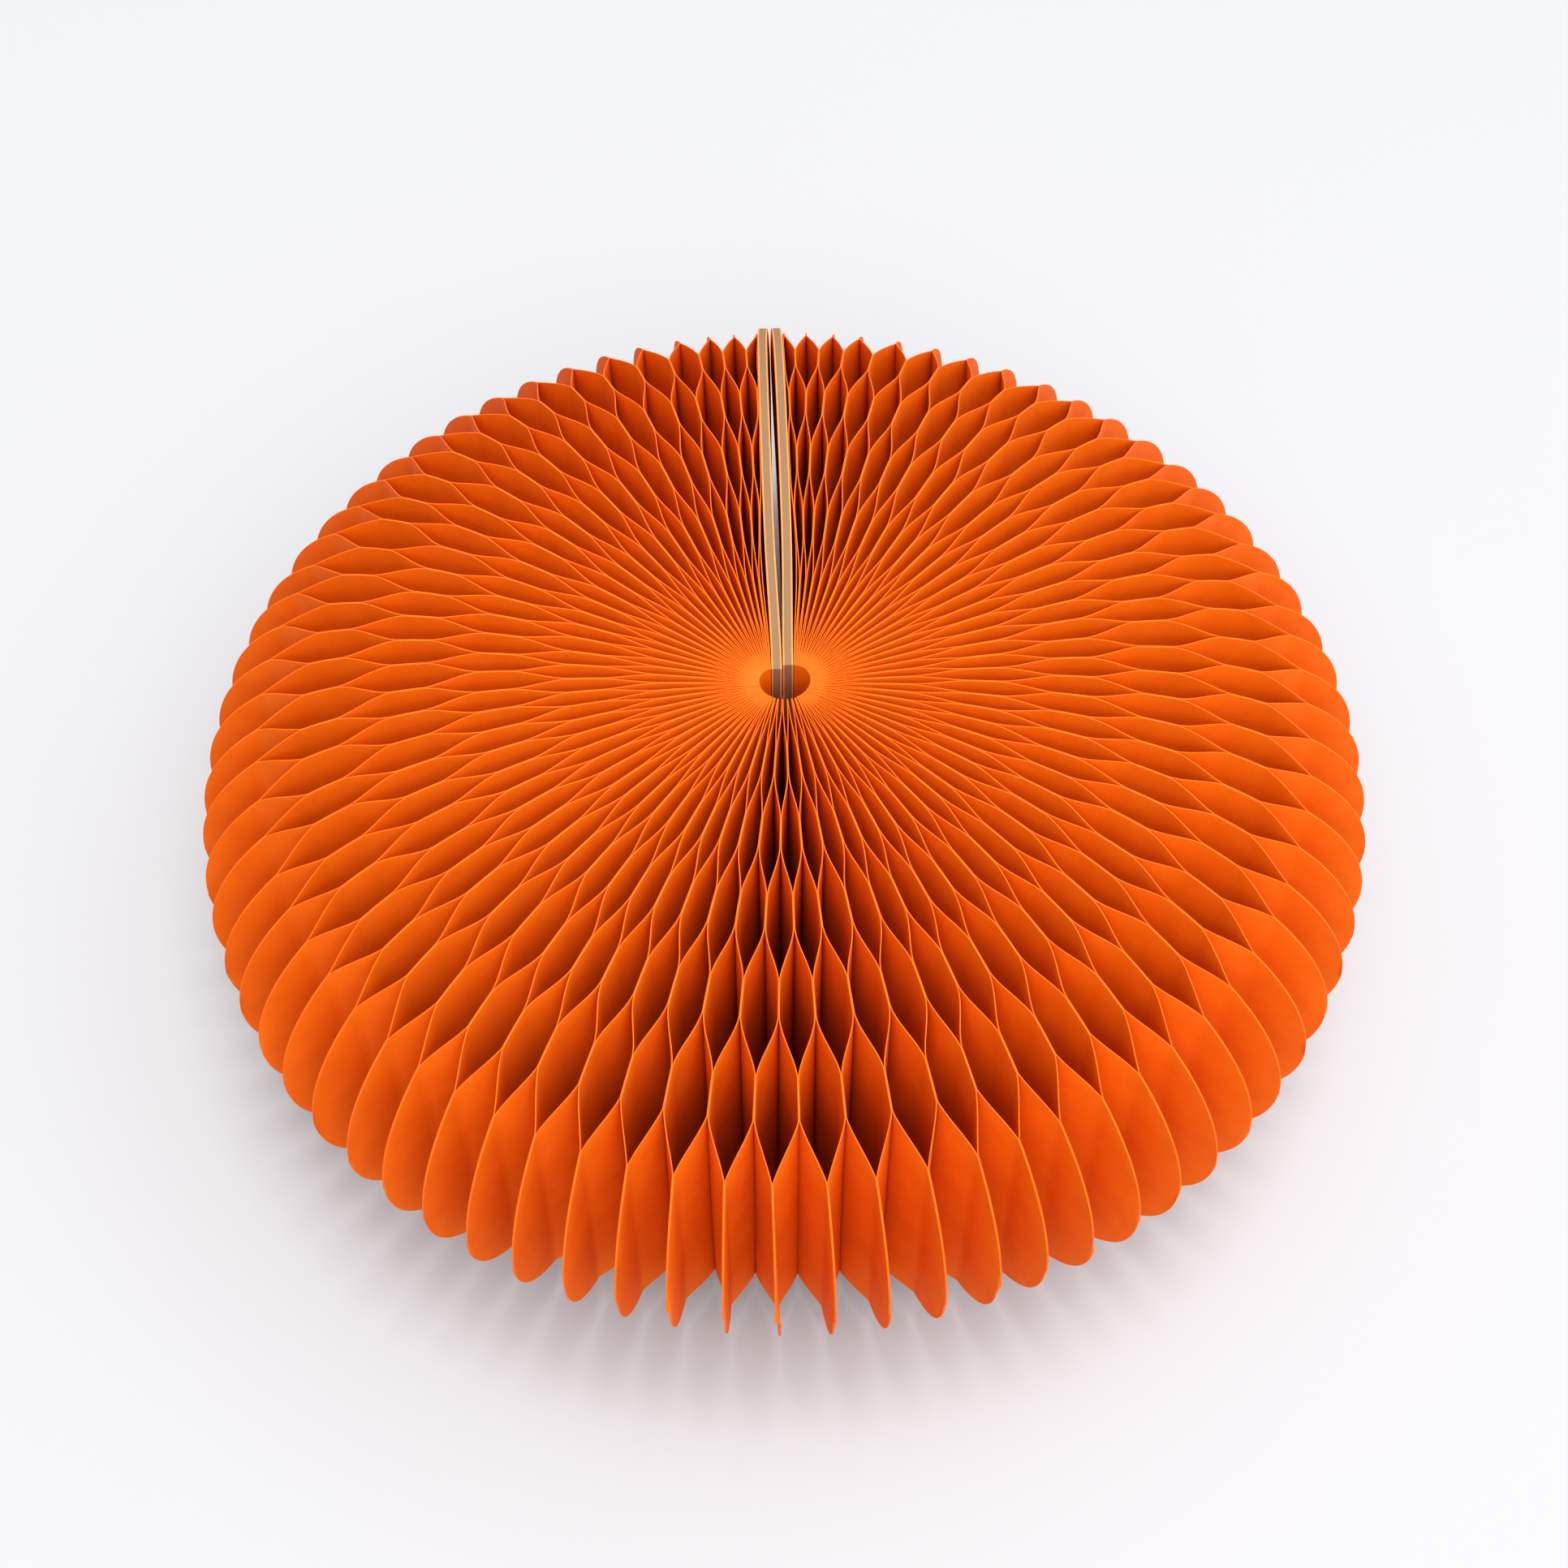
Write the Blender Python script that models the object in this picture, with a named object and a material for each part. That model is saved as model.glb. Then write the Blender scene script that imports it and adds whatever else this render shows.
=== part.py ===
"""Paper honeycomb ball: a fan of glued sheets hinged round a hollow spine, closed by two covers."""

import math

import bmesh
import bpy

MM = 0.001

# overall shape: a flattened ball, a little hollow at the poles, that stands on its lower rim
RADIUS = 140 * MM  # spine axis to the tip of a sheet
HALF_HEIGHT = 48.0 * MM  # where a sheet is widest, about 55 mm from the spine axis
PROFILE_SCALE = 50.7 * MM  # the outline of a sheet is a superellipse, less a hollow at the spine
PROFILE_POWER = 3.77
HOLLOW = 0.169
HOLLOW_REACH = 36 * MM
AXIS_Y = -1.27 * MM  # puts the origin under the middle of the overall box

# the fan: each block is four sheets, which is two ribs of two sheets
BLOCKS = 39
STEP = 2 * math.pi / BLOCKS
SHEET_PITCH = 0.1875 * MM  # one sheet in the closed stack, with its glue
BLOCK_PITCH = 4 * SHEET_PITCH
SPINE_RADIUS = BLOCK_PITCH / STEP  # half the spine hole from front to back

# a sheet across its width, from the spine outwards
HUB_OUT = 9.0 * MM  # the sheets lie tight together from the spine to here
STRIPS = (
    (15.3 * MM, 23.4 * MM),
    (35.8 * MM, 44.1 * MM),
    (56.5 * MM, 64.8 * MM),
    (77.2 * MM, 85.5 * MM),
    (97.9 * MM, 106.6 * MM),
)  # glue strips, innermost first: odd ones join two ribs, even ones the sheets of a rib
RIB_IN = 117.9 * MM  # the outermost strip, which runs on to the edge
RIB_STEPS = (128.5 * MM, 133.6 * MM)
RIB_OUT = 135.25 * MM
WALL = 0.25 * MM
BLOCK_GAP = 0.15 * MM  # between neighbouring blocks

# the two covers: greyboard between two facing sheets
COVER_GAP = 0.3 * MM  # between the two covers where they meet
CORE = 1.9 * MM
FACING = 0.2 * MM
LAYER_GAP = 0.05 * MM
COVER = CORE + 2 * FACING + 2 * LAYER_GAP
COVER_OUT = 142 * MM  # spine axis to the tip of a cover
FAN_START = COVER_GAP / 2 + COVER + 0.1 * MM  # half the width that the covers take
COVER_POINTS = 22

ORANGE = (0.90, 0.17, 0.01, 1.0)
ORANGE_CARD = (0.93, 0.22, 0.03, 1.0)
GREYBOARD = (0.42, 0.31, 0.20, 1.0)


def clear_scene():
    for obj in list(bpy.data.objects):
        bpy.data.objects.remove(obj, do_unlink=True)


def new_collection(name):
    made = bpy.data.collections.new(name)
    bpy.context.scene.collection.children.link(made)
    return made


def new_material(name, colour, roughness):
    made = bpy.data.materials.new(name)
    made.use_nodes = True
    shader = made.node_tree.nodes["Principled BSDF"]
    shader.inputs["Base Color"].default_value = colour
    shader.inputs["Roughness"].default_value = roughness
    return made


def half_height(distance, reach):
    """Half the height of a sheet at this distance from the spine axis."""
    share = min(1.0, max(0.0, distance / reach))
    hollow = HOLLOW * math.exp(-distance / HOLLOW_REACH)
    return min(HALF_HEIGHT, PROFILE_SCALE * math.sqrt(1 - share**PROFILE_POWER) * (1 - hollow))


def direction(angle):
    """Away from the spine, counted from the covers towards the left."""
    return (-math.sin(angle), math.cos(angle))


def spine_points():
    """The hinge lines between blocks. The covers' thickness makes the hole wider than it is deep."""
    excess = 2 * (2 * FAN_START) / (BLOCKS * BLOCK_PITCH)
    points = [(-FAN_START, SPINE_RADIUS)]
    for block in range(BLOCKS):
        middle = (block + 0.5) * STEP
        pitch = BLOCK_PITCH * (1 - excess * math.cos(middle))
        x, y = points[-1]
        points.append((x - pitch * math.cos(middle), y - pitch * math.sin(middle)))
    return points


def extruded(name, outline, holes):
    """A slab with this outline and these holes, centred on its own plane, as a closed mesh."""
    curve = bpy.data.curves.new(name, "CURVE")
    curve.dimensions = "2D"
    curve.fill_mode = "BOTH"
    curve.extrude = HALF_HEIGHT
    for loop in [outline] + holes:
        spline = curve.splines.new("POLY")
        spline.points.add(len(loop) - 1)
        for point, (x, y) in zip(spline.points, loop):
            point.co = (x, y, 0, 1)
        spline.use_cyclic_u = True
    guide = bpy.data.objects.new(name + "_guide", curve)
    bpy.context.scene.collection.objects.link(guide)
    bpy.context.view_layer.update()
    graph = bpy.context.evaluated_depsgraph_get()
    mesh = bpy.data.meshes.new_from_object(guide.evaluated_get(graph))
    bpy.data.objects.remove(guide, do_unlink=True)
    shape = bmesh.new()
    shape.from_mesh(mesh)
    bmesh.ops.remove_doubles(shape, verts=shape.verts, dist=1e-6)
    bmesh.ops.recalc_face_normals(shape, faces=shape.faces)
    shape.to_mesh(mesh)
    shape.free()
    mesh.name = name
    return mesh


def place(mesh, name, material, collection, origin):
    """Puts the mesh in the scene with its origin on this hinge line."""
    for vertex in mesh.vertices:
        vertex.co.x -= origin[0]
        vertex.co.y -= origin[1]
    made = bpy.data.objects.new(name, mesh)
    made.location = (origin[0], origin[1] + AXIS_Y, HALF_HEIGHT)
    mesh.materials.clear()
    mesh.materials.append(material)
    collection.objects.link(made)
    return made


def make_block(number, ends, material, collection):
    """Four sheets as one folded network of walls and cells, with the outline of the ball."""
    (left_x, left_y), (right_x, right_y) = ends
    left_way = direction((number - 1) * STEP)
    right_way = direction(number * STEP)

    def across(out):
        """The block's width at this distance from the spine."""
        dx = right_x - left_x + out * (right_way[0] - left_way[0])
        dy = right_y - left_y + out * (right_way[1] - left_way[1])
        return math.hypot(dx, dy)

    def at(out, share, walls=0.0, gaps=0.0):
        """A point in plan: a share of the block's width, then some wall and gap thicknesses."""
        t = share + (walls * WALL + gaps * BLOCK_GAP / 2) / across(out)
        x = (1 - t) * (left_x + out * left_way[0]) + t * (right_x + out * right_way[0])
        y = (1 - t) * (left_y + out * left_way[1]) + t * (right_y + out * right_way[1])
        return (x, y)

    (a_in, a_out), (b_in, b_out), (c_in, c_out), (d_in, d_out), (e_in, e_out) = STRIPS

    def side(turn):
        """The outer face of the block on one side, from the spine to the edge."""
        edge = 0.0 if turn > 0 else 1.0
        rib = 0.25 if turn > 0 else 0.75
        points = [at(0, edge, 0, turn), at(a_out, edge, 0, turn)]
        points += [at(b_in, rib, -turn), at(b_out, rib, -turn)]
        points += [at(c_in, edge, 0, turn), at(c_out, edge, 0, turn)]
        points += [at(d_in, rib, -turn), at(d_out, rib, -turn)]
        points += [at(e_in, edge, 0, turn), at(e_out, edge, 0, turn)]
        points += [at(RIB_IN, rib, -turn)]
        points += [at(out, rib, -turn) for out in RIB_STEPS]
        points += [at(RIB_OUT, rib, -turn)]
        return points

    def notch(turn):
        """The inner face of one rib's free edge, from the edge inwards."""
        rib = 0.25 if turn > 0 else 0.75
        points = [at(RIB_OUT, rib, turn)]
        points += [at(out, rib, turn) for out in reversed(RIB_STEPS)]
        points += [at(RIB_IN, rib, turn)]
        return points

    outline = side(1) + notch(1) + [at(e_out, 0.5)] + notch(-1)[::-1] + side(-1)[::-1]

    def rib_cell(turn, low, strip, high):
        """A cell between the two sheets of a rib."""
        edge = 0.0 if turn > 0 else 1.0
        rib = 0.25 if turn > 0 else 0.75
        points = [at(low, rib)]
        points += [at(out, edge, turn, turn) for out in strip]
        points += [at(high, rib)]
        points += [at(out, 0.5, -turn) for out in reversed(strip)]
        return points

    def middle_cell(low, strip, high):
        """A cell between the block's two ribs."""
        points = [at(low, 0.5)]
        points += [at(out, 0.25, 1) for out in strip]
        points += [at(high, 0.5)]
        points += [at(out, 0.75, -1) for out in reversed(strip)]
        return points

    holes = [middle_cell(a_out, (b_in, b_out), c_in)]
    holes += [middle_cell(c_out, (d_in, d_out), e_in)]
    for turn in (1, -1):
        holes += [rib_cell(turn, HUB_OUT, (a_in, a_out), b_in)]
        holes += [rib_cell(turn, b_out, (c_in, c_out), d_in)]
        holes += [rib_cell(turn, d_out, (e_in, e_out), RIB_IN)]

    name = f"sheet_block_{number:02d}"
    mesh = extruded(name, outline, holes)
    middle_x = (left_x + right_x) / 2
    middle_y = (left_y + right_y) / 2
    way = direction((number - 0.5) * STEP)
    for vertex in mesh.vertices:
        out = (vertex.co.x - middle_x) * way[0] + (vertex.co.y - middle_y) * way[1]
        height = half_height(out + SPINE_RADIUS, RADIUS)
        vertex.co.z = math.copysign(height, vertex.co.z)
    return place(mesh, name, material, collection, ends[0])


def cover_outline():
    """The outline of a cover: the shape of a sheet, a little longer."""
    points = []
    for step in range(COVER_POINTS):
        turn = math.pi / 2 * step / (COVER_POINTS - 1)
        reach = SPINE_RADIUS + (COVER_OUT - SPINE_RADIUS) * math.sin(turn)
        points.append((reach, half_height(reach, COVER_OUT)))
    upper = points[:-1]
    return upper + [points[-1]] + [(y, -z) for y, z in reversed(upper)]


def make_layer(name, near, far, side, material, collection):
    """One flat layer of a cover, between two distances from the plane where the covers meet."""
    mesh = extruded(name, cover_outline(), [])
    low, high = sorted((side * near, side * far))
    for vertex in mesh.vertices:
        y, z = vertex.co.x, vertex.co.y
        vertex.co = (high if vertex.co.z > 0 else low, y, z)
    shape = bmesh.new()
    shape.from_mesh(mesh)
    bmesh.ops.recalc_face_normals(shape, faces=shape.faces)
    shape.to_mesh(mesh)
    shape.free()
    return place(mesh, name, material, collection, (side * FAN_START, SPINE_RADIUS))


def make_cover(word, side, card, board, collection):
    """A cover, as its outer facing, its greyboard core and its inner facing."""
    outer = COVER_GAP / 2
    core = outer + FACING + LAYER_GAP
    inner = core + CORE + LAYER_GAP
    make_layer(f"{word}_outer_facing", outer, outer + FACING, side, card, collection)
    make_layer(f"{word}_board", core, core + CORE, side, board, collection)
    make_layer(f"{word}_inner_facing", inner, inner + FACING, side, card, collection)


def main():
    clear_scene()
    ball = new_collection("honeycomb_ball")
    spine = spine_points()
    for number in range(1, BLOCKS + 1):
        paper = new_material(f"orange_paper_{number:02d}", ORANGE, 0.8)
        make_block(number, (spine[number - 1], spine[number]), paper, ball)
    for word, side in (("left_cover", -1), ("right_cover", 1)):
        card = new_material(f"{word}_card", ORANGE_CARD, 0.75)
        board = new_material(f"{word}_greyboard", GREYBOARD, 0.9)
        make_cover(word, side, card, board, ball)


main()
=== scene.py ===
"""Paper honeycomb ball: 156 glued paper sheets fanned round a hollow spine between two board covers."""

import math

import bpy
import numpy as np
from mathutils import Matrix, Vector


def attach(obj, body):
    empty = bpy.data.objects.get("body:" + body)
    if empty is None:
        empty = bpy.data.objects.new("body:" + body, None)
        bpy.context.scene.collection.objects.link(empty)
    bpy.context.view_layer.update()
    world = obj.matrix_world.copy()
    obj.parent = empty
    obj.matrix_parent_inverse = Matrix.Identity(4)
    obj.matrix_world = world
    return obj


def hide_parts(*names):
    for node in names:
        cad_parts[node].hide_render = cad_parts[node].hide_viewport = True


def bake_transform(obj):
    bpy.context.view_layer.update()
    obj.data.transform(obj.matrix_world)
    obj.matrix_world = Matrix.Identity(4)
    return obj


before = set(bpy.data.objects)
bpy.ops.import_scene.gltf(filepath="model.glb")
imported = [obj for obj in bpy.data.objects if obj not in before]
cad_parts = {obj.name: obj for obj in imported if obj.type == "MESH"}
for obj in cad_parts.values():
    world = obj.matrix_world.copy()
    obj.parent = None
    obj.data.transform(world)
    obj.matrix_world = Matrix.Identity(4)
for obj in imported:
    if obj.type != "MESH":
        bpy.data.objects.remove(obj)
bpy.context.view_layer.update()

MM = 0.001

# the ball, as in the CAD
RADIUS = 140 * MM  # spine axis to the tip of a sheet
HALF_HEIGHT = 48.0 * MM
PROFILE_SCALE = 50.7 * MM  # the outline of a sheet is a superellipse, less a hollow at the spine
PROFILE_POWER = 3.77
HOLLOW = 0.169
HOLLOW_REACH = 36 * MM
AXIS_Y = -1.27 * MM  # where the spine axis stands
BLOCKS = 39
STEP = 2 * math.pi / BLOCKS
BLOCK_PITCH = 0.75 * MM
SPINE_RADIUS = BLOCK_PITCH / STEP
SHEETS_IN_BLOCK = 4
SHEETS = BLOCKS * SHEETS_IN_BLOCK
COVER_GAP = 0.3 * MM
CORE = 1.9 * MM
FACING = 0.2 * MM
LAYER_GAP = 0.05 * MM
COVER = CORE + 2 * FACING + 2 * LAYER_GAP
COVER_OUT = 142 * MM
FAN_START = COVER_GAP / 2 + COVER + 0.1 * MM

# a sheet across its width, from the spine outwards: (start, end, glued into ribs or between ribs)
RIB, BETWEEN = 0, 1
STRIPS = (
    (0.0, 0.8 * MM, RIB),
    (15.3 * MM, 23.4 * MM, BETWEEN),
    (35.8 * MM, 44.1 * MM, RIB),
    (56.5 * MM, 64.8 * MM, BETWEEN),
    (77.2 * MM, 85.5 * MM, RIB),
    (97.9 * MM, 106.6 * MM, BETWEEN),
    (117.9 * MM, 140.0 * MM, RIB),
)
STRAIGHT = (0.75, 0.40, 0.35, 0.35, 0.40, 0.75)  # how straight the paper runs between strips
PAPER = 0.21 * MM
PAPER_AT_SPINE = 0.15 * MM
PAPER_FULL_OUT = 45 * MM  # the sheets are pressed thinner at the spine, and full again from here
GLUED = 1.02  # how far apart two glued sheets lie, in thicknesses
END_HEIGHT = 0.7 * MM  # half the height of a sheet at its very tip
COLLAR_OUT = (1.8 * MM, 5.6 * MM)  # the glue at the spine fills the gaps up to here
COLLAR_GAP = 0.045 * MM  # half of the seam that it leaves
COLLAR_OPEN = 2.3  # blocks each way from the front where it has come loose

# how finely a sheet is made: its rows in height, and its steps between strips and out to its tip
ROWS = 5
CELL_STEPS = 12
FIRST_CELL_STEPS = 14
TIP_STEPS = 18

# where the real fan is uneven: reaches without a unit are counted in blocks
CROWD = 0.9  # blocks' worth of sheets that lie close against each cover
CROWD_REACH = 1.35
HUG_REACH = 0.42  # the very first sheets lie flat against the cover
TIP_LEAN = math.radians(5.0)  # how far the tips of the ribs turn
TIP_LEAN_CHANGE = math.radians(2.0)  # and how much more at the back, and less in front
TIP_LEAN_FREE = 5  # near the covers the tips stay straight
FRONT_PITCH = 1.6 * MM  # how much wider apart the sheets leave the spine at the front, per block
FRONT_REACH = 1.45
FRONT_FADE = 2.5
SLIT = 0.8 * MM  # how far the first sheets stand off each cover
SLIT_AT = 26 * MM
SLIT_LENGTH = 17 * MM
SLIT_REACH = 3.0

# the covers aren't flat, and the sheets beside them follow
COVER_REACH = 8.0
COVER_BOW = 0.82 * MM  # how far each cover stands off its own plane
BOW_START = 0.18  # the share of the cover in which the bow sets in
BOW_END = 1.1  # how much of it is gone at the tip
BOW_END_POWER = 8
LEAN_AT_SPINE = -0.3 * MM  # both covers stand and lean a little to the left
LEAN_AT_TIP = -0.5 * MM
LEAN_POWER = 1.3
COVER_TWIST = 1.8 * MM
SKEW = 0.55 * MM  # the left cover starts nearer the front than the right one
SKEW_REACH = 6 * MM


def fading(distance, reach):
    """From 1 where there is no distance to almost 0 at twice the reach."""
    return np.exp(-((distance / reach) ** 2))


def half_height(distance, reach):
    """Half the height of a sheet or cover at this distance from the spine axis."""
    share = np.clip(np.asarray(distance, float) / reach, 0, 1)
    hollow = HOLLOW * np.exp(-np.asarray(distance, float) / HOLLOW_REACH)
    return np.minimum(HALF_HEIGHT, PROFILE_SCALE * np.sqrt(1 - share**PROFILE_POWER) * (1 - hollow))


def direction(angle):
    """Away from the spine, counted from the covers towards the left."""
    return np.stack([-np.sin(angle), np.cos(angle)], axis=-1)


def across(angle):
    """Along the fan, towards the next sheet."""
    return np.stack([-np.cos(angle), -np.sin(angle)], axis=-1)


# ---------------------------------------------------------------- the fan in plan


def spine_points():
    """The hinge lines between blocks. The covers' thickness makes the hole wider than it is deep."""
    excess = 2 * (2 * FAN_START) / (BLOCKS * BLOCK_PITCH)
    points = [(-FAN_START, SPINE_RADIUS)]
    for block in range(BLOCKS):
        middle = (block + 0.5) * STEP
        pitch = BLOCK_PITCH * (1 - excess * math.cos(middle))
        x, y = points[-1]
        points.append((x - pitch * math.cos(middle), y - pitch * math.sin(middle)))
    return np.array(points)


SPINE = spine_points()
SPINE_RUN = np.concatenate([[0], np.cumsum(np.linalg.norm(np.diff(SPINE, axis=0), axis=1))])


def spine_at(place):
    """The point of the spine at this place in the fan, counted in blocks."""
    blocks = np.arange(BLOCKS + 1)
    return np.stack([np.interp(place, blocks, SPINE[:, 0]), np.interp(place, blocks, SPINE[:, 1])], axis=-1)


FINE = np.linspace(0, BLOCKS, 40 * BLOCKS + 1)


def spread_run():
    """How far round the spine each place in the fan really starts: close at the sides, open in front."""
    front = fading(FINE - BLOCKS / 2, FRONT_REACH)
    opened = np.concatenate([[0], np.cumsum((front[1:] + front[:-1]) / 2 * np.diff(FINE))]) * FRONT_PITCH
    return opened + FINE / BLOCKS * (SPINE_RUN[-1] - opened[-1])


SPREAD = spread_run()


def spread_at(place):
    """From the hinge line to where the sheet really starts."""
    run = np.interp(place, FINE, SPREAD)
    blocks = np.interp(run, SPINE_RUN, np.arange(BLOCKS + 1))
    return spine_at(blocks) - spine_at(place)


def turned(place):
    """The place in the fan whose direction a sheet takes: the first and last sheets hug the covers."""
    stretch = 1 + 2 * CROWD / BLOCKS

    def from_cover(away):
        crowded = stretch * away - CROWD * np.tanh(away / CROWD_REACH)
        return crowded * (1 - fading(away, HUG_REACH))

    half = BLOCKS / 2
    return np.where(place < half, from_cover(place), BLOCKS - from_cover(BLOCKS - place))


def cover_share(reach):
    """How far along a cover this distance from the spine axis is."""
    return np.clip((reach - SPINE_RADIUS) / (COVER_OUT - SPINE_RADIUS), 0, 1)


def cover_bow(reach):
    """How far a cover bulges towards its sheets."""
    share = cover_share(reach)
    return COVER_BOW * (1 - fading(share, BOW_START)) * (1 - BOW_END * share**BOW_END_POWER)


def cover_lean(reach, level):
    """How far a cover stands to one side; it is twisted too, so it runs out the other way at the bottom."""
    share = cover_share(reach)
    upper = LEAN_AT_SPINE + (LEAN_AT_TIP - LEAN_AT_SPINE) * share**LEAN_POWER
    return upper + COVER_TWIST * (1 - level) / 2 * np.sqrt(share)


# ---------------------------------------------------------------- one sheet


def stations():
    """Distances from the spine at which a sheet has points."""
    found = [0.0, 0.25 * MM]
    for (start, end, _), (following, _, _) in zip(STRIPS, STRIPS[1:]):
        if start > 0:
            found.append((start + end) / 2)
        steps = CELL_STEPS if start > 0 else FIRST_CELL_STEPS
        found += [end + (following - end) * k / steps for k in range(steps + 1)]
    last = STRIPS[-1][0]
    share = (1 - (END_HEIGHT / PROFILE_SCALE) ** 2) ** (1 / PROFILE_POWER)
    tip = share * RADIUS - SPINE_RADIUS
    for k in range(1, TIP_STEPS + 1):
        found.append(last + (tip - last) * math.sin(math.pi / 2 * k / TIP_STEPS))
    return np.array(sorted(set(round(x, 7) for x in found)))


OUT = stations()
HEIGHT = half_height(OUT + SPINE_RADIUS, RADIUS)
THICK = PAPER_AT_SPINE + (PAPER - PAPER_AT_SPINE) * np.clip(OUT / PAPER_FULL_OUT, 0, 1) ** 0.5
UP = np.linspace(-1, 1, ROWS)  # the rows of a sheet, from its lower to its upper edge


def mixing():
    """For each station: the strip before it, the strip after it, and how far it is on the way."""
    hair = 1e-9
    before, after, way = [], [], []
    for out in OUT:
        k = max(i for i, strip in enumerate(STRIPS) if out >= strip[0] - hair)
        before.append(k)
        if out <= STRIPS[k][1] + hair or k + 1 == len(STRIPS):
            after.append(k)
            way.append(0.0)
        else:
            after.append(k + 1)
            t = (out - STRIPS[k][1]) / (STRIPS[k + 1][0] - STRIPS[k][1])
            curved = t * t * (3 - 2 * t)
            way.append(STRAIGHT[k] * t + (1 - STRAIGHT[k]) * curved)
    return np.array(before), np.array(after), np.array(way)


BEFORE, AFTER, WAY = mixing()

# small irregularities: each rib sits a little off its place, and leans and bows a little
chance = np.random.default_rng(7)
RIBS = SHEETS // 2 + 1
RIB_OFF = chance.normal(0, 1, (len(STRIPS), RIBS))
RIB_LEAN = 0.8 * chance.normal(0, 1, (len(STRIPS), RIBS))
RIB_BOW = 0.7 * chance.normal(0, 1, (len(STRIPS), RIBS))
LOOSE = np.array([0.0, 0.03, 0.06, 0.10, 0.14, 0.18, 0.26]) * MM  # how much, strip by strip
SHORT = chance.uniform(0, 0.12, SHEETS) * MM  # how much lower each sheet is cut


def rib_of(sheet, kind):
    """The rib that a sheet is glued into at a strip of this kind, and the side of the rib that it is on."""
    if kind == RIB:
        return sheet // 2, (-1 if sheet % 2 == 0 else 1)
    return (sheet + 1) // 2, (1 if sheet % 2 == 0 else -1)


def sheet_path(sheet):
    """Where the sheet runs: its place in the fan, and its offset across, at each station and row."""
    place = np.zeros(len(STRIPS))
    side = np.zeros(len(STRIPS))
    shift = np.zeros((len(STRIPS), ROWS))
    for k, (_, _, kind) in enumerate(STRIPS):
        rib, side[k] = rib_of(sheet, kind)
        place[k] = (2 * rib + 1) / 4 if kind == RIB else rib / 2
        on_cover = kind == BETWEEN and rib in (0, RIBS - 1)
        if not on_cover:
            bent = RIB_LEAN[k, rib] * UP + RIB_BOW[k, rib] * (UP**2 - 0.4)
            shift[k] = LOOSE[k] * (RIB_OFF[k, rib] + bent)
    where = place[BEFORE] * (1 - WAY) + place[AFTER] * WAY
    side = side[BEFORE] * (1 - WAY) + side[AFTER] * WAY
    loose = shift[BEFORE] * (1 - WAY)[:, None] + shift[AFTER] * WAY[:, None]
    return where, (side * THICK / 2 * GLUED)[:, None] + loose


def sheet_middle(sheet):
    """The middle surface of a sheet in plan, and the place in the fan that each station turns to."""
    where, aside = sheet_path(sheet)
    turn = turned(where)
    from_left, from_right = where, BLOCKS - where
    left, right = fading(from_left, COVER_REACH), fading(from_right, COVER_REACH)
    reach = (OUT + SPINE_RADIUS)[:, None]
    level = (HEIGHT / HALF_HEIGHT)[:, None] * UP[None, :]
    lean = cover_lean(reach, level)
    bend = (cover_bow(reach) - lean) * left[:, None] - (cover_bow(reach) + lean) * right[:, None]
    slit = SLIT * fading(OUT - SLIT_AT, SLIT_LENGTH)
    slit *= fading(from_left, SLIT_REACH) - fading(from_right, SLIT_REACH)
    free = (1 - fading(from_left, TIP_LEAN_FREE)) * (1 - fading(from_right, TIP_LEAN_FREE))
    tip = np.tan(TIP_LEAN + TIP_LEAN_CHANGE * np.cos(where * STEP)) * free
    bend = bend + (slit + tip * np.maximum(0, OUT - STRIPS[-1][0]))[:, None]
    skew = SKEW * (right - left) * np.exp(-OUT / SKEW_REACH)
    fade = 1 - np.clip(OUT / RADIUS, 0, 1) ** FRONT_FADE
    line = spine_at(where) + fade[:, None] * spread_at(where) + (OUT + skew)[:, None] * direction(turn * STEP)
    return line[:, None, :] + (aside + bend)[:, :, None] * across(turn * STEP)[:, None, :], turn


MIDDLES, TURNS = zip(*(sheet_middle(sheet) for sheet in range(SHEETS)))
FILL = np.clip((COLLAR_OUT[1] - OUT) / (COLLAR_OUT[1] - COLLAR_OUT[0]), 0, 1)
FILL = FILL * FILL * (3 - 2 * FILL)  # how much of a gap the glue at the spine fills


def half_thickness(sheet, other):
    """From the middle of the sheet to its face on the side of the other sheet."""
    half = THICK[:, None] / 2 * np.ones((1, ROWS))
    if 0 <= other < SHEETS:
        gap = np.linalg.norm(MIDDLES[other] - MIDDLES[sheet], axis=-1)
        place = (sheet + other + 1) / 2 / SHEETS_IN_BLOCK
        closed = 1 - fading(place - BLOCKS / 2, COLLAR_OPEN)
        half += closed * FILL[:, None] * np.maximum(0, gap / 2 - half - COLLAR_GAP)
    return half


def sheet_points(sheet):
    """The sheet's two faces as (station, row, 3) points, and the place in the fan that each turns to."""
    middle, turn = MIDDLES[sheet], TURNS[sheet]
    run = np.gradient(middle, OUT, axis=0)
    run /= np.linalg.norm(run, axis=-1, keepdims=True)
    normal = np.stack([-run[..., 1], run[..., 0]], axis=-1)
    height = (HEIGHT - SHORT[sheet])[:, None] * UP[None, :]
    faces, turns = [], []
    for step in (-1, 1):
        half = half_thickness(sheet, sheet + step)
        flat = middle + step * half[..., None] * normal
        faces.append(np.dstack([flat[..., 0], flat[..., 1] + AXIS_Y, height + HALF_HEIGHT]))
        extra = (half - THICK[:, None] / 2) / np.maximum(OUT, 1 * MM)[:, None] / STEP
        turns.append(turn[:, None] + step * extra)
    return faces, turns


# ---------------------------------------------------------------- meshes


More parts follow.
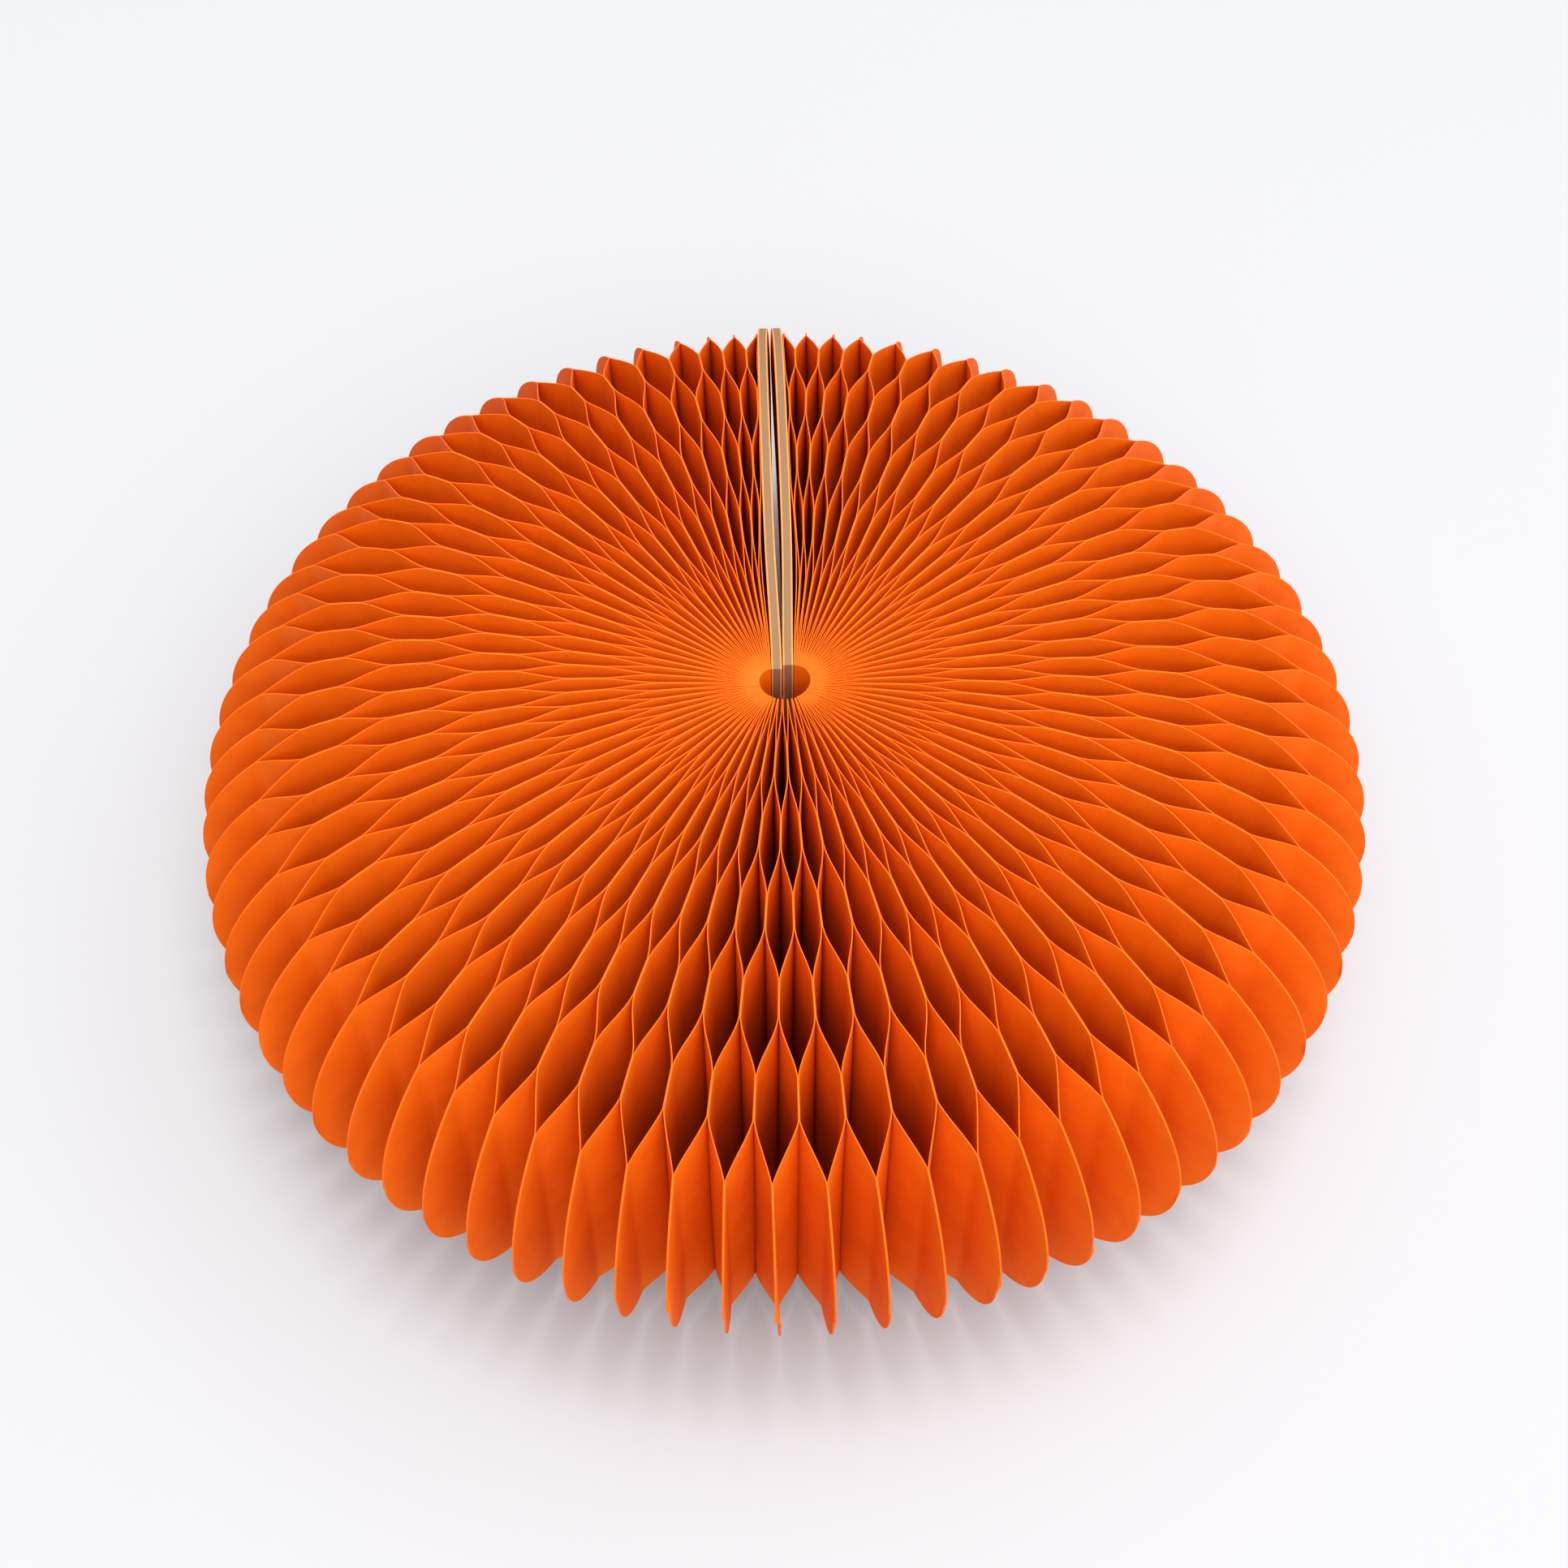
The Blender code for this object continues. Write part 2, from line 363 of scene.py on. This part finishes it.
def grid_faces(n, m, low, high):
    """A thin closed sheet of two grids of n x m points: its faces, its cut edge and its edge at the spine."""
    i, j = np.meshgrid(np.arange(n - 1), np.arange(m - 1), indexing="ij")
    a = (i * m + j).ravel()
    one = np.stack([a, a + m, a + m + 1, a + 1], axis=1)
    walls = np.concatenate([low + one, high + one[:, ::-1]])
    k = np.arange(n - 1)
    bottom = np.stack([low + k * m, high + k * m, high + (k + 1) * m, low + (k + 1) * m], axis=1)
    t = k * m + m - 1
    top = np.stack([low + t, low + t + m, high + t + m, high + t], axis=1)
    r = np.arange(m - 1)
    inner = np.stack([low + r, low + r + 1, high + r + 1, high + r], axis=1)
    e = (n - 1) * m + r
    outer = np.stack([low + e, high + e, high + e + 1, low + e + 1], axis=1)
    return walls, np.concatenate([bottom, top, outer]), inner


def mesh_of(name, points, faces, kinds, uvs, materials):
    """A piece of these points and faces; each face's kind is the number of its material."""
    mesh = bpy.data.meshes.new(name)
    mesh.from_pydata(points.tolist(), [], faces.tolist())
    for material in materials:
        mesh.materials.append(material)
    mesh.polygons.foreach_set("material_index", kinds.astype(np.int32))
    mesh.polygons.foreach_set("use_smooth", np.ones(len(faces), bool))
    layer = mesh.uv_layers.new(name="across_and_up")
    layer.data.foreach_set("uv", uvs[faces.ravel()].astype(np.float32).ravel())
    mesh.update()
    mesh.validate()
    mesh.set_sharp_from_angle(angle=math.radians(50))
    made = bpy.data.objects.new(name, mesh)
    bpy.context.scene.collection.objects.link(made)
    return made


# ---------------------------------------------------------------- materials

DEEP_ORANGE, ORANGE = (0.82, 0.140, 0.003), (0.87, 0.162, 0.0045)
DEEP_ORANGE_CUT, ORANGE_CUT = (0.86, 0.132, 0.009), (0.91, 0.157, 0.014)
DEEP_ORANGE_CARD, ORANGE_CARD = (0.92, 0.16, 0.01), (0.98, 0.19, 0.015)
DEEP_ORANGE_CARD_CUT, ORANGE_CARD_CUT = (0.96, 0.26, 0.06), (1.0, 0.32, 0.09)
FIBRE_SHADE, WHITE = (0.93, 0.90, 0.86), (1.0, 1.0, 1.0)
DEEP_GREYBOARD, GREYBOARD = (0.225, 0.126, 0.066), (0.30, 0.173, 0.094)
SPECK_SHADE, SPECK_LIGHT = (0.72, 0.70, 0.68), (1.05, 1.03, 1.0)
DEEP_FLOOR, PALE_FLOOR = (0.419, 0.423, 0.435), (0.434, 0.438, 0.450)


def nodes_for(name, roughness, specular):
    made = bpy.data.materials.new(name)
    made.use_nodes = True
    tree = made.node_tree
    shader = tree.nodes["Principled BSDF"]
    shader.inputs["Roughness"].default_value = roughness
    shader.inputs["Specular IOR Level"].default_value = specular
    return made, tree, shader


def noise(tree, **values):
    node = tree.nodes.new("ShaderNodeTexNoise")
    for key, value in values.items():
        node.inputs[key].default_value = value
    return node


def sheet_noise(tree, **values):
    """Noise that is laid out on the sheet, so it moves with it."""
    node = noise(tree, **values)
    uv = tree.nodes.new("ShaderNodeUVMap")
    uv.uv_map = "across_and_up"
    tree.links.new(uv.outputs["UV"], node.inputs["Vector"])
    return node.outputs["Fac"]


def ramp(tree, source, low, high, first, last):
    """One colour where the source is low, the other where it is high."""
    node = tree.nodes.new("ShaderNodeValToRGB")
    node.color_ramp.elements[0].position = low
    node.color_ramp.elements[1].position = high
    node.color_ramp.elements[0].color = (*first, 1)
    node.color_ramp.elements[1].color = (*last, 1)
    tree.links.new(source, node.inputs["Fac"])
    return node.outputs["Color"]


def span(tree, source, low, high):
    node = tree.nodes.new("ShaderNodeMapRange")
    node.inputs["To Min"].default_value = low
    node.inputs["To Max"].default_value = high
    tree.links.new(source, node.inputs["Value"])
    return node.outputs["Result"]


def multiplied(tree, first, second):
    node = tree.nodes.new("ShaderNodeMix")
    node.data_type = "RGBA"
    node.blend_type = "MULTIPLY"
    node.inputs["Factor"].default_value = 1.0
    tree.links.new(first, node.inputs["A"])
    tree.links.new(second, node.inputs["B"])
    return node.outputs["Result"]


def bumped(tree, source, strength, distance):
    node = tree.nodes.new("ShaderNodeBump")
    node.inputs["Strength"].default_value = strength
    node.inputs["Distance"].default_value = distance
    tree.links.new(source, node.inputs["Height"])
    return node.outputs["Normal"]


def paper_material(name, deep, light, rough, grain):
    """Dyed uncoated paper: cloudy formation, short fibres, and a fine felt-side grain."""
    made, tree, shader = nodes_for(name, rough, 0.08)
    cloud = sheet_noise(tree, Scale=90.0, Detail=3.0, Roughness=0.55)
    fibre = sheet_noise(tree, Scale=900.0, Detail=4.0, Roughness=0.7, Distortion=1.2)
    felt = sheet_noise(tree, Scale=2600.0, Detail=2.0, Roughness=0.5)
    colour = ramp(tree, cloud, 0.35, 0.68, deep, light)
    specks = ramp(tree, fibre, 0.3, 0.72, FIBRE_SHADE, WHITE)
    tree.links.new(multiplied(tree, colour, specks), shader.inputs["Base Color"])
    tree.links.new(span(tree, fibre, rough - 0.06, rough + 0.08), shader.inputs["Roughness"])
    tree.links.new(bumped(tree, felt, grain, 0.04 * MM), shader.inputs["Normal"])
    return made


def board_material(name):
    """Greyboard: pressed waste paper, seen as a sawn brown-grey edge with specks and layers."""
    made, tree, shader = nodes_for(name, 0.9, 0.2)
    cloud = sheet_noise(tree, Scale=240.0, Detail=5.0, Roughness=0.65)
    speck = sheet_noise(tree, Scale=1500.0, Detail=3.0, Roughness=0.8)
    colour = ramp(tree, cloud, 0.3, 0.7, DEEP_GREYBOARD, GREYBOARD)
    specks = ramp(tree, speck, 0.28, 0.6, SPECK_SHADE, SPECK_LIGHT)
    tree.links.new(multiplied(tree, colour, specks), shader.inputs["Base Color"])
    tree.links.new(bumped(tree, speck, 0.5, 0.12 * MM), shader.inputs["Normal"])
    return made


PAPER_FACE = paper_material("orange_paper_face", DEEP_ORANGE, ORANGE, 0.66, 0.35)
PAPER_EDGE = paper_material("orange_paper_cut_edge", DEEP_ORANGE_CUT, ORANGE_CUT, 0.8, 0.5)
CARD_FACE = paper_material("orange_card_face", DEEP_ORANGE_CARD, ORANGE_CARD, 0.55, 0.3)
CARD_EDGE = paper_material("orange_card_cut_edge", DEEP_ORANGE_CARD_CUT, ORANGE_CARD_CUT, 0.8, 0.5)
BOARD = board_material("greyboard_core")

# ---------------------------------------------------------------- sheets

NEXT_FACE = 0.31  # how far the paper's texture moves on from one face to the next, and from sheet to sheet
NEXT_SHEET = 0.17


def runs_at(hinge, turn):
    """The stretches of a sheet that bend at this hinge, as their first and last stations."""
    middle = (turn[1:] + turn[:-1]) / 2
    found = np.clip(np.floor(middle + 0.5).astype(int) + 1, 1, BLOCKS + 1)
    inside = np.concatenate([[False], found == hinge, [False]])
    starts = np.flatnonzero(inside[1:] & ~inside[:-1])
    ends = np.flatnonzero(inside[:-1] & ~inside[1:])
    return zip(starts, ends)


def weight_at(turn, hinge):
    """How far each point turns from the body before the hinge to the one after it."""
    if hinge == 1:
        weight = turn * 2
    elif hinge == BLOCKS + 1:
        weight = (turn - BLOCKS + 0.5) * 2
    else:
        weight = turn - hinge + 1.5
    return np.clip(weight, 0, 1)


def make_sheets(hinge):
    """The sheets that bend at one hinge, as one piece."""
    points, faces, kinds, uvs, weights = [], [], [], [], []
    count = 0
    for sheet in range(SHEETS):
        for first, last in runs_at(hinge, TURNS[sheet]):
            sides, turns = sheet_points(sheet)
            stretch = slice(first, last + 1)
            n = last - first + 1
            walls, rim, inner = grid_faces(n, ROWS, count, count + n * ROWS)
            points += [side[stretch].reshape(-1, 3) for side in sides]
            faces += [walls, rim, inner]
            kinds += [np.zeros(len(walls)), np.ones(len(rim)), np.zeros(len(inner))]
            flat = np.stack([np.repeat(OUT[stretch], ROWS), sides[0][stretch, :, 2].ravel()], axis=1)
            for number, turn in enumerate(turns):
                uvs.append(flat + [NEXT_FACE * (2 * sheet + number), NEXT_SHEET * (sheet % 11)])
                weights.append(weight_at(turn[stretch], hinge).ravel())
            count += 2 * n * ROWS
    made = mesh_of(
        f"paper_sheets_{hinge:02d}",
        np.concatenate(points),
        np.concatenate(faces).astype(int),
        np.concatenate(kinds),
        np.concatenate(uvs),
        (PAPER_FACE, PAPER_EDGE),
    )
    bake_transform(made)
    # the blocks of the part file on either side of this hinge are hidden
    nodes = [f"sheet_block_{k:02d}" for k in (hinge - 1, hinge) if 1 <= k <= BLOCKS]
    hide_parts(*nodes)


for hinge in range(1, BLOCKS + 2):
    make_sheets(hinge)

# ---------------------------------------------------------------- covers

COVER_COLUMNS = 60
COVER_ROWS = 13
CARD = 0.32 * MM  # a facing with the glue under it
COVER_END_HEIGHT = 0.8 * MM  # half the height of a cover at its very tip


def make_layer(name, near, far, side, body, node, materials):
    """One layer of a cover, between two distances from the plane where the covers meet."""
    turn = np.linspace(0, math.pi / 2, COVER_COLUMNS)
    reach = SPINE_RADIUS + (COVER_OUT - SPINE_RADIUS) * np.sin(turn)
    height = np.maximum(half_height(reach, COVER_OUT), COVER_END_HEIGHT)
    skewed = reach + side * SKEW * np.exp(-(reach - SPINE_RADIUS) / SKEW_REACH)
    n, m = COVER_COLUMNS, COVER_ROWS
    z = height[:, None] * np.sin(np.linspace(-math.pi / 2, math.pi / 2, m))[None, :]
    y = np.repeat(skewed[:, None], m, axis=1)
    aside = cover_lean(reach[:, None], z / HALF_HEIGHT) + side * cover_bow(reach)[:, None]
    sides = []
    for depth in sorted((side * near, side * far), reverse=True):
        sides.append(np.dstack([depth + aside, y + AXIS_Y, z + HALF_HEIGHT]).reshape(-1, 3))
    walls, rim, inner = grid_faces(n, m, 0, n * m)
    faces = np.concatenate([walls, rim, inner]).astype(int)
    kinds = np.concatenate([np.zeros(len(walls)), np.ones(len(rim) + len(inner))])
    flat = np.stack([y.ravel(), z.ravel()], axis=1)
    uvs = np.concatenate([flat, flat + [0.3, 0.002]])
    made = mesh_of(name, np.concatenate(sides), faces, kinds, uvs, materials)
    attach(made, body)
    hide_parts(node)


for word, side in (("left", -1), ("right", 1)):
    outer = COVER_GAP / 2
    core = outer + CARD
    inner = outer + COVER - CARD
    body = f"{word}_cover"
    card, board = (CARD_FACE, CARD_EDGE), (BOARD, BOARD)
    layers = (
        ("card_outer", outer, core, "outer_facing", "orange_card", card),
        ("greyboard", core, inner, "board", "greyboard", board),
        ("card_inner", inner, outer + COVER, "inner_facing", "orange_card", card),
    )
    for part, near, far, node, slot, materials in layers:
        make_layer(f"{word}_cover_{part}", near, far, side, body, f"{word}_cover_{node}", materials)

# ---------------------------------------------------------------- floor, light and camera


def floor_material():
    made, tree, shader = nodes_for("pale_floor", 0.75, 0.2)
    cloud = noise(tree, Scale=6.0, Detail=2.0).outputs["Fac"]
    tree.links.new(ramp(tree, cloud, 0.3, 0.7, DEEP_FLOOR, PALE_FLOOR), shader.inputs["Base Color"])
    return made


bpy.ops.mesh.primitive_plane_add(size=12, location=(0, 0, 0))
floor = bpy.context.object
floor.name = "floor"
floor.data.materials.append(floor_material())

FRONT_PLACE, FRONT_SIZE, FRONT_POWER = (0.1, -1.95, 2.65), 2.5, 68
OVERHEAD_PLACE, OVERHEAD_SIZE, OVERHEAD_POWER = (0.25, 0.15, 3.29), 1.5, 86
ROOM_COLOUR = (0.985, 0.985, 1.0, 1)
ROOM_BRIGHT_WAY = (1.0, 0.0, 0.0)
ROOM_DIM = 0.5
ROOM_BRIGHT = 1.6


def area_light(name, place, size, power):
    """A square white softbox that points at the middle of the ball."""
    data = bpy.data.lights.new(name, "AREA")
    data.shape = "RECTANGLE"
    data.size = size
    data.size_y = size
    data.energy = power
    made = bpy.data.objects.new(name, data)
    made.location = place
    aim = Vector((0, 0, HALF_HEIGHT)) - Vector(place)
    made.rotation_euler = aim.to_track_quat("-Z", "Y").to_euler()
    bpy.context.scene.collection.objects.link(made)


area_light("front_softbox", FRONT_PLACE, FRONT_SIZE, FRONT_POWER)
area_light("overhead", OVERHEAD_PLACE, OVERHEAD_SIZE, OVERHEAD_POWER)


def studio_world():
    """A pale room that is brighter on one side."""
    world = bpy.data.worlds.new("studio")
    world.use_nodes = True
    tree = world.node_tree
    backdrop = tree.nodes["Background"]
    backdrop.inputs["Color"].default_value = ROOM_COLOUR
    place = tree.nodes.new("ShaderNodeTexCoord")
    dot = tree.nodes.new("ShaderNodeVectorMath")
    dot.operation = "DOT_PRODUCT"
    dot.inputs[1].default_value = ROOM_BRIGHT_WAY
    tree.links.new(place.outputs["Generated"], dot.inputs[0])
    level = tree.nodes.new("ShaderNodeMapRange")
    level.inputs["From Min"].default_value = -1.0
    level.inputs["To Min"].default_value = ROOM_DIM
    level.inputs["To Max"].default_value = ROOM_BRIGHT
    tree.links.new(dot.outputs["Value"], level.inputs["Value"])
    tree.links.new(level.outputs["Result"], backdrop.inputs["Strength"])
    return world


bpy.context.scene.world = studio_world()
bpy.context.scene.view_settings.view_transform = "Standard"

CAMERA_LENS = 60.3
CAMERA_AZIMUTH = math.radians(-1.7)
CAMERA_ELEVATION = math.radians(55.3)
CAMERA_DISTANCE = 0.650
CAMERA_TARGET = Vector((0.00002, 0.00214, 0.04502))

back = Vector((
    math.sin(CAMERA_AZIMUTH) * math.cos(CAMERA_ELEVATION),
    -math.cos(CAMERA_AZIMUTH) * math.cos(CAMERA_ELEVATION),
    math.sin(CAMERA_ELEVATION),
))
camera = bpy.data.objects.new("camera", bpy.data.cameras.new("camera"))
camera.data.lens = CAMERA_LENS
camera.data.sensor_width = 36
camera.data.clip_start = 0.01
camera.location = CAMERA_TARGET + back * CAMERA_DISTANCE
camera.rotation_euler = (-back).to_track_quat("-Z", "Y").to_euler()
bpy.context.scene.collection.objects.link(camera)
bpy.context.scene.camera = camera
